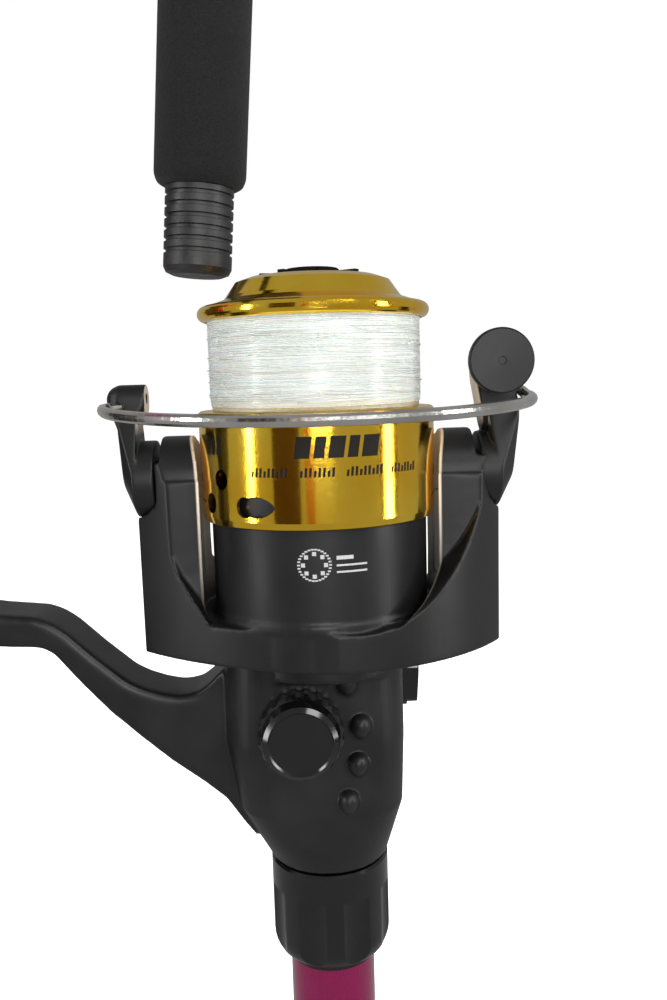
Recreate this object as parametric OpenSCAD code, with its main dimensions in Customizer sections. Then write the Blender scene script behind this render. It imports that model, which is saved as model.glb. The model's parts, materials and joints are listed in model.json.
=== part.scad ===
// Spinning reel on a folding travel rod handle.
// Z runs along the spool axis, the spool faces up and the crank is on the +Y side.
// The origin is the centre of the open lower end of the rod tube.

/* [Rod tube and lock collar] */
// Outer diameter of the rod tube
tube_d = 20.4; // [19:0.1:20.6]
// Wall of the rod tube
tube_wall = 1.2; // [0.8:0.1:2]
// Outer diameter of the lock collar
collar_d = 28.1; // [27:0.1:30]
// Height of the collar's lower face above the tube's end
collar_z = 64.6; // [60:0.2:68]

/* [Body] */
// Thickness of the housing walls
wall = 1.8; // [1.4:0.1:2]
// Half depth of the housing
body_y = 16; // [15.5:0.1:17]
// Height of the crank axis
crank_z = 125; // [124:0.5:126]
// Sideways offset of the crank axis from the spool axis
crank_x = -5.7; // [-6:0.1:-5.5]

/* [Rotor] */
// Half length of the rotor's oval base
rotor_a = 41; // [40:0.5:42]
// Radius of the rotor drum
drum_r = 24.6; // [24:0.1:24.8]
// Height of the rotor's lower rim
rotor_z = 140.2; // [140.2:0.1:141]
// Height of the bail's pivot axis
pivot_z = 180; // [179.5:0.1:180.5]

/* [Bail] */
// Plan radius of the bail wire
bail_r = 47.6; // [47:0.1:48]
// Diameter of the bail wire
wire_d = 2.5; // [2:0.1:2.8]

/* [Spool] */
// Outer radius of the spool skirt
skirt_r = 26.6; // [26.3:0.1:27]
// Height of the skirt's lower rim, spool fully forward
skirt_z = 170.9; // [170.5:0.1:172]
// Height of the spool floor, where the line starts
floor_z = 195; // [194:0.5:196]
// Outer radius of the wound line
line_r = 23.6; // [20:0.1:24]
// Radius of the spool arbor
arbor_r = 13; // [12.5:0.1:14]

/* [Seat and grip] */
// Distance from the spool axis to the reel seat's axis
seat_x = -94.5; // [-96:0.5:-93.5]
// Diameter of the reel seat tube
seat_tube_d = 15; // [14:0.5:16]
// Length of the foam on the folding grip
foam_len = 59.6; // [50:0.2:60]
// Diameter of the foam grip
foam_d = 21.4; // [20:0.2:24]
// Diameter of the ribbed spigot
spigot_d = 16; // [15:0.1:16.6]
// Fold of the grip away from in line with the seat, in degrees
fold_rest = 184.5; // [175:0.5:186]

/* [Hidden] */
$fn = 96;
e = 0.05;
run_gap = 0.05;
big = 200;

body_bottom = 89.3;
body_top = 139.8;
cavity_z = 96;
neck_z = 141;
tube_top = 94;
shaft_r = 1.75;
drive_r = 3;
gear_teeth = 41;
pinion_teeth = 10;
gear_mean = 13.4;
pinion_mean = 2.96;
osc_x = 3;
osc_z = 108.5;
osc_pin_r = 7;
near_wall_y = -body_y + wall;
cover_y = 11;
screw_places = [[10.5, 134.2], [11.5, 104], [-15.8, 108]];
screw_seat_y = body_y - 1.1;
roller_x = 39.5;
roller_z = 204.3;
knob_z = crank_z + 50;
pawl_xy = [9.5, 9.5];

drum_top = 178;
drum_in = 21.8;
plate_z = 168;
arm_in = 28;
trough_z = 149.2;
hub_r = 8.7;
pin_r = 1.5;

lip_z = 216.2;
line_top = 215.4;

arch_x = 2;
arch_z = 181.5;

foot_in = 10.95;
foot_out = 14.6;
foot_tip = 12.5;
hood_r = 14.2;
seat_r = 10.9;

fold_azimuth = 10;
foam_z = 335.5;
spigot_z = foam_z + foam_len + 0.2;
hinge_s = 38.05;
hinge_z = 322;

// ---------- shared shapes ----------

// Straight cylinder along +Y from y0 to y1, centred on x and z
module along_y(x, z, r, y0, y1) {
    translate([x, y0, z]) rotate([-90, 0, 0]) cylinder(r = r, h = y1 - y0);
}

// Straight cylinder along +X from x0 to x1, centred on y and z
module along_x(y, z, r, x0, x1) {
    translate([x0, y, z]) rotate([0, 90, 0]) cylinder(r = r, h = x1 - x0);
}

// Round tube along Z
module ring(r_out, r_in, z0, z1) {
    translate([0, 0, z0]) difference() {
        cylinder(r = r_out, h = z1 - z0);
        translate([0, 0, -e]) cylinder(r = r_in, h = z1 - z0 + 2 * e);
    }
}

// Box from corner to corner
module span(a, b) {
    translate(a) cube(b - a);
}

// Rectangle with round corners, standing between two x and two y values
module round_rect(x0, x1, y0, y1, r) {
    translate([x0 + r, y0]) square([x1 - x0 - 2 * r, y1 - y0]);
    translate([x0, y0 + r]) square([x1 - x0, y1 - y0 - 2 * r]);
    for (x = [x0 + r, x1 - r], y = [y0 + r, y1 - r])
        translate([x, y]) circle(r = r, $fn = 40);
}

// One row of the same teeth around Z, each a small block
module spur_teeth(count, r_root, r_tip, width, z0, z1) {
    for (i = [0 : count - 1])
        rotate([0, 0, i * 360 / count])
            translate([r_root - 0.3, -width / 2, z0])
                cube([r_tip - r_root + 0.3, width, z1 - z0]);
}

// ---------- rod tube and lock collar ----------

module rod_tube() {
    color("mediumvioletred") ring(tube_d / 2, tube_d / 2 - tube_wall, 0, tube_top);
}

// Split sleeve that the collar squeezes on to the tube
module tube_collet() {
    collet_r = tube_d / 2 + 1.2;
    slit = 1.2;
    color("black") difference() {
        union() {
            ring(collet_r, tube_d / 2 + 0.02, collar_z + 4, 87);
            ring(tube_d / 2 + 0.7, tube_d / 2 + 0.02, collar_z - 1.5, collar_z + 4.1);
        }
        for (a = [45, 135, 225, 315])
            rotate([0, 0, a]) span([tube_d / 2 - 1, -slit / 2, collar_z + 3], [20, slit / 2, 80]);
    }
}

module lock_collar() {
    r = collar_d / 2;
    bore = tube_d / 2 + 1.6;
    lip_bore = tube_d / 2 + 1;
    round_w = 2.6;
    round_h = 4.6;
    height = 23.9;
    flutes = 8;
    flute_r = 9;
    flute_depth = 1.1;
    color("black") difference() {
        rotate_extrude() polygon(concat(
            [[lip_bore, collar_z], [r - round_w, collar_z]],
            [for (a = [15 : 15 : 90])
                [r - round_w + round_w * sin(a), collar_z + round_h - round_h * cos(a)]],
            [[r, collar_z + height - 0.5], [r - 0.5, collar_z + height], [bore, collar_z + height],
            [bore, collar_z + 2], [lip_bore, collar_z + 2]]));
        for (i = [0 : flutes - 1])
            rotate([0, 0, i * 360 / flutes + 25])
                translate([r + flute_r - flute_depth, 0, collar_z - 1])
                    cylinder(r = flute_r, h = 18, $fn = 64);
    }
}

// ---------- housing ----------

// Outside of the gear housing, from the round socket at the bottom to the flat top
module housing_outer() {
    hull() {
        translate([0, 0, body_bottom]) cylinder(r = 14, h = 1, $fn = 64);
        translate([0, 0, 104]) linear_extrude(1) round_rect(-20.5, 17.4, -body_y, body_y, 10);
        translate([0, 0, 120]) linear_extrude(1) round_rect(-23, 18, -body_y, body_y, 10);
        translate([0, 0, body_top - 1]) linear_extrude(1)
            round_rect(-23, 18, -body_y, body_y, 11);
    }
}

// Space for the gears, open on the cover side
module housing_cavity() {
    hull() {
        translate([0, 0, cavity_z]) linear_extrude(1)
            round_rect(-14.5, 14.5, near_wall_y + 1, -near_wall_y - 1, 8);
        translate([0, 0, 106]) linear_extrude(1)
            round_rect(-19.2, 15.6, near_wall_y, -near_wall_y, 8.2);
        translate([0, 0, 134.4]) linear_extrude(1)
            round_rect(-21.2, 16.2, near_wall_y, -near_wall_y, 9);
    }
    // room for the rim of the drive gear
    along_y(crank_x, crank_z, gear_mean + 1.3, 1, cover_y + 1);
    // room for the rim of the oscillating gear
    along_y(osc_x, osc_z, 11.8, -11.7, -7.7);
}

// Side view of the stem that carries the foot, as points on its lower and upper edges
stem_lower = [[-17, 96], [-19.2, 98.9], [-23.8, 105.3], [-29.3, 109.8], [-36, 114.9],
    [-42.5, 120.7], [-49.3, 127.1], [-55.6, 134.2], [-61.3, 141.3], [-63.9, 142.8], [-81, 143.8]];
stem_upper = [[-81, 151.8], [-71.4, 150.8], [-64.8, 150.1], [-61.4, 148.7], [-58.3, 146.5],
    [-51.7, 140.2], [-45.3, 134.6], [-41.9, 132.7], [-37.9, 131.3], [-33.7, 130.4],
    [-29.6, 131], [-26.8, 132.9], [-22.8, 136.9], [-17, 136.9]];

module stem() {
    half = 7.5;
    rotate([90, 0, 0]) translate([0, 0, -half]) linear_extrude(2 * half)
        polygon(concat(stem_lower, stem_upper));
    // foot plate, curved to lie on the seat, with thin ends for the hoods
    translate([seat_x, 0, 0]) rotate([0, 0, -38]) rotate_extrude(angle = 76)
        polygon([[foot_in, 115], [foot_tip, 115], [foot_tip, 122], [foot_out, 130],
            [foot_out, 166], [foot_tip, 173.8], [foot_tip, 181], [foot_in, 181]]);
}

module body_shell() {
    boss_r = 7.6;
    color([0.13, 0.13, 0.14]) difference() {
        union() {
            difference() {
                union() {
                    housing_outer();
                    stem();
                    translate([0, 0, 136]) cylinder(r = 19.6, h = neck_z - 136);
                }
                housing_cavity();
                // the part of the housing that the side cover stands for
                span([-big, cover_y, body_bottom + 4], [big, big, body_top + 0.1]);
            }
            // neck that carries the pinion bearing
            translate([0, 0, neck_z - e]) cylinder(r = 9.6, h = 4.6);
            // boss for the crank bearing and post for the oscillating gear
            along_y(crank_x, crank_z, boss_r, -body_y - 0.6, near_wall_y + 0.6);
            along_y(osc_x, osc_z, 2.2, near_wall_y - 0.5, -8.2);
            // posts that take the cover's screws
            for (p = screw_places) along_y(p[0], p[1], 2.6, 6.2, cover_y);
            // four small raised beads on the right front bevel
            for (p = [[4.9, 135.2], [7.6, 125.2], [6.8, 116.4], [4.5, 107.7]])
                translate([p[0], -body_y, p[1]]) bead();
        }
        // seat for the near crank bearing
        along_y(crank_x, crank_z, 5.5, -body_y - 0.2, -body_y + 4);
        along_y(crank_x, crank_z, drive_r + 0.4, -body_y - 2, 0);
        // pinion bearing seat and passage
        translate([0, 0, neck_z]) cylinder(r = 7, h = 10);
        translate([0, 0, neck_z - 10]) cylinder(r = 4.4, h = 12);
        // socket for the rod tube and its collet
        translate([0, 0, body_bottom - 1]) cylinder(r = tube_d / 2 + 0.05, h = tube_top + 1.1 - body_bottom);
        translate([0, 0, tube_top - 2]) cylinder(r = shaft_r + 0.5, h = 10);
        for (p = screw_places) along_y(p[0], p[1], 1.2, 7, cover_y + 1);
        // hole for the lever's spindle
        along_x(9.5, 128, 1.3, 10, 30);
        // hole for the pawl's pin
        translate([pawl_xy[0], pawl_xy[1], 138.5]) cylinder(r = 1.1, h = 5);
    }
}

// Egg-shaped bead standing on the near face
module bead() {
    rotate([90, 0, 0]) rotate_extrude($fn = 48)
        polygon([[0, -1], [2.5, -1], [2.4, 0.5], [1.7, 1.9], [0.7, 2.5], [0, 2.6]]);
}

// Cover plate on the crank side
module side_cover() {
    plate_y = body_y - 2;
    color([0.13, 0.13, 0.14]) difference() {
        union() {
            intersection() {
                housing_outer();
                span([-big, cover_y + 0.1, body_bottom + 4.1], [big, big, body_top]);
            }
            along_y(crank_x, crank_z, 8.4, plate_y, 20);
        }
        housing_cavity();
        along_y(crank_x, crank_z, 5.5, 15.8, 21);
        along_y(crank_x, crank_z, drive_r + 0.4, 0, 30);
        for (p = screw_places) {
            along_y(p[0], p[1], 1.25, 0, 30);
            along_y(p[0], p[1], 2.8, screw_seat_y, 30);
        }
    }
}

module cover_screws() {
    head_h = 1.5;
    color("silver") for (p = screw_places) difference() {
        union() {
            along_y(p[0], p[1], 1.2, 7, screw_seat_y + e);
            along_y(p[0], p[1], 2.5, screw_seat_y, screw_seat_y + head_h);
        }
        for (a = [0, 90])
            translate([p[0], screw_seat_y + head_h, p[1]]) rotate([0, a, 0])
                cube([3, 1.2, 0.6], center = true);
    }
}

// ---------- bearings ----------

module bearing(r_in, r_out, width) {
    race = (r_out - r_in) * 0.28;
    balls = 8;
    mid = (r_in + r_out) / 2;
    ring(r_in + race, r_in, 0, width);
    ring(r_out, r_out - race, 0, width);
    ring(r_out - race + e, r_in + race - e, width * 0.42, width * 0.58);
    for (i = [0 : balls - 1])
        rotate([0, 0, i * 360 / balls]) translate([mid, 0, width / 2])
            sphere(r = (r_out - r_in) * 0.23, $fn = 24);
}

module drive_bearings() {
    color("silver") for (y = [-body_y - 0.2, 15.8])
        translate([crank_x, y, crank_z]) rotate([-90, 0, 0])
            bearing(drive_r + run_gap, 5.5, 3.4);
}

module pinion_bearing() {
    color("silver") translate([0, 0, neck_z]) bearing(3.6 + run_gap, 7, 4);
}

// ---------- crank, drive gear and oscillating gear ----------

module drive_gear() {
    face_y = pinion_mean - 0.06;
    tooth = 0.7;
    mesh = acos(-crank_x / gear_mean);
    skew = asin(crank_x / gear_mean);
    color("silver") {
        difference() {
            union() {
                along_y(crank_x, crank_z, drive_r, -21.5, 38);
                along_y(crank_x, crank_z, 6.94, -11.2, -8.2);
                along_y(crank_x, crank_z, gear_mean + 0.8, face_y + 0.5, face_y + 2.6);
                along_y(crank_x, crank_z, 5, face_y + 2, 13.4);
            }
            for (a = [0 : 60 : 300])
                translate([crank_x, 0, crank_z]) rotate([0, a, 0])
                    along_y(8, 0, 1.7, 0, 10);
        }
        // crown teeth, skewed to run parallel with the pinion where they meet it
        for (i = [0 : gear_teeth - 1])
            translate([crank_x, face_y, crank_z]) rotate([0, i * 360 / gear_teeth - mesh, 0])
                translate([gear_mean, 0, 0]) rotate([0, skew, 0])
                    translate([-0.8, 0, -tooth / 2]) cube([1.5, 0.9, tooth]);
        // small gear that drives the oscillating gear
        translate([crank_x, -11.2, crank_z]) rotate([-90, 0, 0])
            spur_teeth(16, 6.9, 7.45, 1.0, 0.2, 2.8);
    }
}

module osc_gear() {
    r = 11.16;
    color("ivory") difference() {
        union() {
            along_y(osc_x, osc_z, r - 0.5, -11.2, -8.2);
            translate([osc_x, -11.2, osc_z]) rotate([-90, 7.5, 0])
                spur_teeth(24, r - 0.54, r - 0.06, 1.0, 0.2, 2.8);
            along_y(osc_x - osc_pin_r, osc_z, 1.6, -8.4, -5.5);
        }
        along_y(osc_x, osc_z, 2.2 + run_gap, -12, -8.15);
        along_y(osc_x, osc_z, 2.6, -8.6, -8);
    }
}

// Scalloped cap that holds the crank on the near side
module screw_cap() {
    rim_r = 9.4;
    face_r = 7.9;
    color("black") difference() {
        translate([crank_x, -16.9, crank_z]) rotate([90, 0, 0]) rotate_extrude()
            polygon([[drive_r, 0], [rim_r, 0], [rim_r, 3.6], [rim_r - 0.7, 4.4],
                [face_r + 0.2, 7.2], [face_r - 0.8, 7.9], [face_r - 1.2, 7.5], [0, 7.5],
                [0, 5], [drive_r, 5]]);
        for (a = [0 : 18 : 342])
            translate([crank_x, 0, crank_z]) rotate([0, a, 0])
                along_y(rim_r + 0.9, 0, 1.4, -22.2, -16);
    }
}

module crank_arm() {
    color([0.16, 0.16, 0.17]) difference() {
        union() {
            along_y(crank_x, crank_z, 4.6, 19.8, 46);
            hull() {
                along_y(crank_x, crank_z, 6.4, 40, 46);
                along_y(crank_x, knob_z, 5, 55.5, 60);
            }
        }
        along_y(crank_x, crank_z, drive_r, 19, 38);
        along_y(crank_x, knob_z, 2.5, 50, 65);
    }
}

module knob_post() {
    color("silver") union() {
        along_y(crank_x, knob_z, 2.5, 55.6, 61);
        along_y(crank_x, knob_z, 2, 60.9, 82);
        along_y(crank_x, knob_z, 3.2, 82, 83);
    }
}

module handle_knob() {
    color([0.12, 0.12, 0.13]) translate([crank_x, 61.3, knob_z]) rotate([-90, 0, 0])
        rotate_extrude() polygon(concat(
            [[2 + run_gap, 0], [5.2, 0], [6, 0.9]],
            [for (t = [0 : 0.125 : 1]) [6 + 3.6 * sin(t * 90), 1.7 + 16 * t]],
            [for (a = [15 : 15 : 75]) [5.6 + 4 * cos(a), 19.2 + 4 * sin(a)]],
            [[4.6, 23.3], [3.4, 22.7], [3.4, 20.4], [2 + run_gap, 20.4]]));
}

// ---------- rotor ----------

module pinion_gear() {
    color("goldenrod") difference() {
        union() {
            translate([0, 0, 132]) cylinder(r = 2.62, h = 8);
            rotate([0, 0, 90 + 18]) spur_teeth(pinion_teeth, 2.6, 3.1, 0.6, 132.2, 138.6);
            translate([0, 0, 139.6]) cylinder(r = 3.6, h = 35);
        }
        translate([0, 0, 131]) cylinder(r = shaft_r + run_gap, h = 50);
    }
}

module ratchet_wheel() {
    teeth = 12;
    color("silver") difference() {
        translate([0, 0, 146.2]) linear_extrude(2.6) polygon([for (i = [0 : teeth - 1],
            s = [0, 1]) [6.6 + 1.6 * s, 0] * cos(i * 360 / teeth + s * 26)
            + [0, 6.6 + 1.6 * s] * sin(i * 360 / teeth + s * 26)]);
        translate([0, 0, 140]) cylinder(r = 3.6, h = 12);
    }
}

module ratchet_pawl() {
    color("silver") difference() {
        translate([0, 0, 146.2]) linear_extrude(2.6) union() {
            translate(pawl_xy) circle(r = 2.6);
            polygon([[8.2, 11.6], [6.9, 12.2], [2.2, 8.6], [2.2, 8.2], [7.2, 8.4], [9, 7.4]]);
        }
        translate([pawl_xy[0], pawl_xy[1], 140]) cylinder(r = 1.1 + run_gap, h = 20);
    }
}

module pawl_pin() {
    color("silver") translate([pawl_xy[0], pawl_xy[1], 0]) union() {
        translate([0, 0, 138.6]) cylinder(r = 1.1, h = 10.6);
        translate([0, 0, neck_z]) cylinder(r = 2.2, h = 5);
        translate([0, 0, 149.1]) cylinder(r = 1.9, h = 0.8);
    }
}

module anti_reverse_lever() {
    color([0.1, 0.1, 0.11]) union() {
        along_x(9.5, 128, 1.25, 12, 19.2);
        hull() {
            along_x(9.5, 131, 2.6, 18.6, 20.4);
            along_x(9.5, 122.6, 2.2, 18.6, 20.4);
        }
        hull() {
            along_x(9.5, 130, 2.2, 20.2, 23.4);
            along_x(9.5, 123, 1.9, 20.2, 23);
        }
    }
}

// Oval plan of the rotor, the same after half a turn
module rotor_outline() {
    intersection() {
        translate([0, 24.1]) circle(r = 49.7, $fn = 180);
        translate([0, -24.1]) circle(r = 49.7, $fn = 180);
        translate([16.8, 58.4]) circle(r = 85, $fn = 240);
        translate([-16.8, -58.4]) circle(r = 85, $fn = 240);
        square([2 * rotor_a, 120], center = true);
    }
}

// Arch that is cut from the front of the rotor. Each section runs down the steep
// left side and up the wide right sweep. which = 0 inner edge, 1 middle, 2 outer edge
left_inner = [[149.2, -24.1], [162, -27.1], [174, -28.3], [200, -28.6]];
left_middle = [[149.2, -24.1], [161, -32.2], [171, -35.4], [181, -36.6], [200, -36.6]];
left_outer = [[149.2, -26], [161, -35], [171, -38.5], [181, -40], [200, -40]];
right_inner = [[0, 32.3], [20, 31.8], [40, 31], [65, 28.6], [90, 26.6]];
right_middle = [[0, 32.3], [20, 32.1], [40, 32], [65, 33.6], [90, 35.6]];
right_outer = [[0, 32.6], [20, 34.8], [40, 36.9], [65, 38.2], [90, 38.6]];

function arch_left(table) = [for (z = [200 : -5.08 : 149.1]) [lookup(z, table), z]];
function arch_right(table) = concat(
    [for (a = [0 : 6 : 90]) let (r = lookup(a, table)) [arch_x + r * sin(a), arch_z - r * cos(a)]],
    [[arch_x + lookup(90, table), 200]]);
function arch_section(left, right, y) =
    [for (p = concat(arch_left(left), arch_right(right))) [p[0], y, p[1]]];

module arch_cutter() {
    sections = [
        arch_section(left_inner, right_inner, -10),
        arch_section(left_middle, right_middle, -10.4),
        arch_section(left_outer, right_outer, -26),
        arch_section(left_outer, right_outer, -60)
    ];
    n = len(sections[0]);
    last = len(sections) - 1;
    middle = [[arch_x, sections[0][0][1], pivot_z], [arch_x, sections[last][0][1], pivot_z]];
    points = concat([for (s = sections, p = s) p], middle);
    sides = [for (k = [0 : last - 1], i = [0 : n - 1]) let (j = (i + 1) % n)
        each [[k * n + i, (k + 1) * n + j, k * n + j], [k * n + i, (k + 1) * n + i, (k + 1) * n + j]]];
    caps = [for (i = [0 : n - 1]) let (j = (i + 1) % n)
        each [[i, j, (last + 1) * n], [last * n + j, last * n + i, (last + 1) * n + 1]]];
    polyhedron(points = points, faces = concat(sides, caps), convexity = 4);
}

// Both arms and the oval base
module rotor_arms() {
    top_r = 9.6;
    difference() {
        translate([0, 0, rotor_z]) linear_extrude(pivot_z + top_r - rotor_z) rotor_outline();
        translate([0, 0, trough_z]) cylinder(r = arm_in, h = 60);
        for (s = [0, 180]) rotate([0, 0, s]) {
            arch_cutter();
            // round end of the arm above its pivot
            difference() {
                span([20, -20, pivot_z], [60, 20, pivot_z + 20]);
                along_x(0, pivot_z, top_r, 10, 70);
            }
            // pocket that the lever's hub turns in
            along_x(0, pivot_z, hub_r + 0.5, 36.1, 60);
            span([36.1, -8, pivot_z], [60, 8, pivot_z + 20]);
            span([35, -20, pivot_z + 4], [60, 20, pivot_z + 20]);
        }
    }
}

module rotor() {
    color([0.14, 0.14, 0.15]) difference() {
        union() {
            rotor_arms();
            translate([0, 0, rotor_z]) cylinder(r = drum_r, h = drum_top - rotor_z);
            translate([0, 0, trough_z - 0.5]) cylinder(r = drum_r + 0.4, h = 1.8);
        }
        // hollow underside and open top of the drum
        translate([0, 0, rotor_z - 1]) cylinder(r = drum_in, h = plate_z - rotor_z + 1);
        translate([0, 0, plate_z + 3]) cylinder(r = drum_in, h = 20);
        translate([0, 0, plate_z - 1]) cylinder(r = 3.6, h = 10);
        for (s = [0, 180]) rotate([0, 0, s]) {
            along_x(0, pivot_z, pin_r, arm_in - 2, 50);
            // spring pocket open to the inside of the arm
            span([arm_in - 3, -6.2, 155], [33.2, 6.2, 175]);
        }
    }
}

module rotor_nut() {
    color("silver") difference() {
        translate([0, 0, plate_z + 3]) cylinder(r = 5.6, h = 3, $fn = 6);
        translate([0, 0, plate_z]) cylinder(r = 3.6, h = 10);
    }
}

module bail_spring() {
    color("silver") translate([31.2, 0, 156.4]) coil_spring(1.45, 0.42, 14, 9);
}

module arm_covers() {
    color([0.14, 0.14, 0.15]) for (s = [0, 180]) rotate([0, 0, s]) intersection() {
        span([arm_in - 1, -6, 155.2], [33, 6, 174.8]);
        difference() {
            translate([0, 0, 155]) cylinder(r = arm_in + 1.2, h = 20);
            translate([0, 0, 154]) cylinder(r = arm_in + 0.1, h = 22);
        }
    }
}

// ---------- bail ----------

module bail_lever_left() {
    color([0.13, 0.13, 0.14]) difference() {
        union() {
            along_x(0, pivot_z, hub_r, -40.6, -36.4);
            hull() {
                along_x(0, pivot_z, hub_r, -41, -40.2);
                along_x(0, pivot_z + 3, 5.5, -43.6, -42);
                along_x(0, 193, 4.4, -44.4, -40.2);
            }
            hull() {
                along_x(0, 198, 3.4, -44.2, -38.2);
                translate([-43.9, 0, 198]) sphere(r = 3.3, $fn = 32);
                along_x(0, 193, 4, -44.2, -41);
            }
        }
        along_x(0, pivot_z, pin_r + run_gap, -60, -30);
        along_x(0, 198.2, 1.1, -41, -30);
        along_x(0, pivot_z, 3, -60, -42.2);
    }
}

module bail_lever_right() {
    color([0.13, 0.13, 0.14]) difference() {
        union() {
            along_x(0, pivot_z, hub_r, 36.4, 40.6);
            hull() {
                along_x(0, pivot_z, hub_r, 40.2, 41);
                along_x(0, pivot_z + 3, 5.5, 42.5, 44.2);
                along_x(0, 193, 4.6, 38.6, 45.6);
            }
            hull() {
                along_x(0, 193, 4.4, 37.6, 45.2);
                along_x(0, 203, 4.2, 35.8, 44.8);
            }
            along_x(1.8, 201.6, 2.2, 44, 47.2);
        }
        along_x(0, pivot_z, pin_r + run_gap, 30, 60);
        along_x(0, pivot_z, 3, 42.2, 60);
        along_y(roller_x, roller_z, 1.25, -6, 6);
    }
}

// Points along an arc of the wire's plan, from one angle to another
function plan_arc(centre, r, from, to, steps) =
    [for (i = [0 : steps]) let (a = from + (to - from) * i / steps)
        [centre[0] + r * cos(a), centre[1] + r * sin(a), 0]];

// Skin of a wire of radius r that follows the points of a path
module swept_wire(path, r, sides) {
    n = len(path);
    up = [0, 0, 1];
    function unit(v) = v / norm(v);
    points = [for (i = [0 : n - 1])
        let (ahead = unit(path[min(i + 1, n - 1)] - path[max(i - 1, 0)]),
            across = unit(cross(ahead, up)), over = cross(across, ahead))
        each [for (k = [0 : sides - 1]) path[i]
            + r * (cos(k * 360 / sides) * across + sin(k * 360 / sides) * over)]];
    skin = [for (i = [0 : n - 2], k = [0 : sides - 1])
        let (a = i * sides + k, b = i * sides + (k + 1) % sides)
        each [[a, b, b + sides], [a, b + sides, a + sides]]];
    ends = [[for (k = [sides - 1 : -1 : 0]) k], [for (k = [0 : sides - 1]) (n - 1) * sides + k]];
    polyhedron(points = points, faces = concat(skin, ends), convexity = 4);
}

// Coil spring standing on z = 0, to its own wire's lower edge
module coil_spring(r, wire_r, height, turns) {
    steps = 16;
    path = [for (i = [0 : turns * steps]) let (a = i * 360 / steps)
        [r * cos(a), r * sin(a), wire_r + (height - 2 * wire_r) * i / (turns * steps)]];
    swept_wire(path, wire_r, 8);
}

module bail_wire() {
    tilt = 2.6;
    left = 191;
    right = 358;
    step_r = 4;
    turn_in = 61;
    turn_out = 50;
    curl_r = 3.2;
    rise = 2;
    first = (bail_r - step_r) * [cos(left), sin(left)];
    second = first + 2 * step_r * [cos(left - turn_in), sin(left - turn_in)];
    curl = (bail_r - curl_r) * [cos(right), sin(right)];
    path = concat(
        plan_arc(second, step_r, left - turn_in + 180 + turn_out, left - turn_in + 180, 5),
        [for (p = plan_arc(first, step_r, left - turn_in, left, 6)) if (p[1] < first[1] + 3.05) p],
        [for (i = [1 : 59]) let (a = left + (right - left) * i / 60) bail_r * [cos(a), sin(a), 0]],
        [for (p = plan_arc(curl, curl_r, right, right + 92, 8))
            p + [0, 0, rise * pow((p[1] - curl[1]) / curl_r, 2)]]);
    color("lightgray") translate([0.5, 0, 196.6]) rotate([tilt, 0, 0])
        swept_wire(path, wire_d / 2, 12);
}

module lever_screws() {
    color("silver") for (s = [0, 180]) rotate([0, 0, s]) difference() {
        union() {
            along_x(0, pivot_z, pin_r, 32, 42.3);
            along_x(0, pivot_z, 2.8, 42.25, 43.4);
        }
        span([43, -3, pivot_z - 0.3], [44, 3, pivot_z + 0.3]);
    }
}

module roller_cap() {
    color([0.12, 0.12, 0.13]) union() {
        translate([roller_x, -12.6, roller_z]) rotate([90, 0, 0]) rotate_extrude()
            polygon([[0, 0], [6.4, 0], [7, 0.5], [7, 1.9], [6.6, 2.4], [0.9, 2.5], [0.8, 2.3], [0, 2.3]]);
        along_y(roller_x, roller_z, 4.2, -12.8, -9.6);
        along_y(roller_x, roller_z, 1.25, -10, 4);
    }
}

module line_roller() {
    color("silver") translate([roller_x, -9.3, roller_z]) rotate([-90, 0, 0]) rotate_extrude()
        polygon([[1.3, 0], [3.9, 0], [3.9, 0.6], [3, 1.6], [3, 3], [3.9, 4.1], [3.9, 4.7], [1.3, 4.7]]);
}

// ---------- spool and its shaft ----------

module main_shaft() {
    color("silver") translate([0, 0, 113]) cylinder(r = shaft_r, h = 111.8);
}

module crosshead() {
    color("ivory") difference() {
        span([-7.2, -5.1, 113.5], [13, 2.4, 119.5]);
        translate([0, 0, 110]) cylinder(r = shaft_r, h = 12);
        span([-5.5, -6, 115], [11.5, -2.4, 118.2]);
    }
}

module shaft_washer() {
    color("silver") ring(5, shaft_r, 189.2, 190.6);
}

module spool() {
    inner = skirt_r - 0.8;
    leaf = [[-4.1, 0], [-3.5, -1.2], [-2.3, -1.95], [-0.6, -2.25], [1, -2.1], [2.4, -1.6],
        [3.5, -0.9], [4.2, 0], [3.5, 0.9], [2.4, 1.6], [1, 2.1], [-0.6, 2.25], [-2.3, 1.95], [-3.5, 1.2]];
    color("gold") difference() {
        rotate_extrude() polygon([
            [shaft_r + run_gap, 191], [4.2, 191], [4.2, floor_z - 1.2], [inner, floor_z - 1.2],
            [inner, skirt_z + 0.5], [skirt_r - 0.6, skirt_z], [skirt_r - 0.2, skirt_z + 0.3],
            [skirt_r, skirt_z + 1.6], [skirt_r, floor_z - 0.4], [skirt_r - 0.4, floor_z],
            [arbor_r, floor_z], [arbor_r, 215.6], [arbor_r - 1.6, 215.6], [arbor_r - 1.6, 212],
            [4.2, 212], [4.2, 208], [shaft_r + run_gap, 208]]);
        // round vents and one long leaf-shaped vent through the skirt, on both sides
        for (s = [0, 180]) rotate([0, 0, s]) {
            for (a = [209, 219, 234]) rotate([0, 0, a])
                along_x(0, a == 219 ? 181 : 175.6, 2.2, 20, 30);
            rotate([0, 0, 240.8]) translate([20, 0, 175.7]) rotate([90, 0, 90])
                linear_extrude(10) polygon(leaf);
        }
    }
}

module spool_flange() {
    roll = 1.7;
    color("gold") rotate_extrude() polygon(concat(
        [[arbor_r - 1.5, 215.7], [24, 215.7]],
        [for (a = [-90 : 15 : 100]) [24.2 + roll * cos(a), lip_z + roll * sin(a)]],
        [[22.6, 218.3], [20, 219.2], [19.4, 219.9], [17.3, 222.9], [14.4, 223.9], [13.9, 223.6],
            [13.9, 221], [arbor_r - 1.5, 221]]));
}

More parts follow.
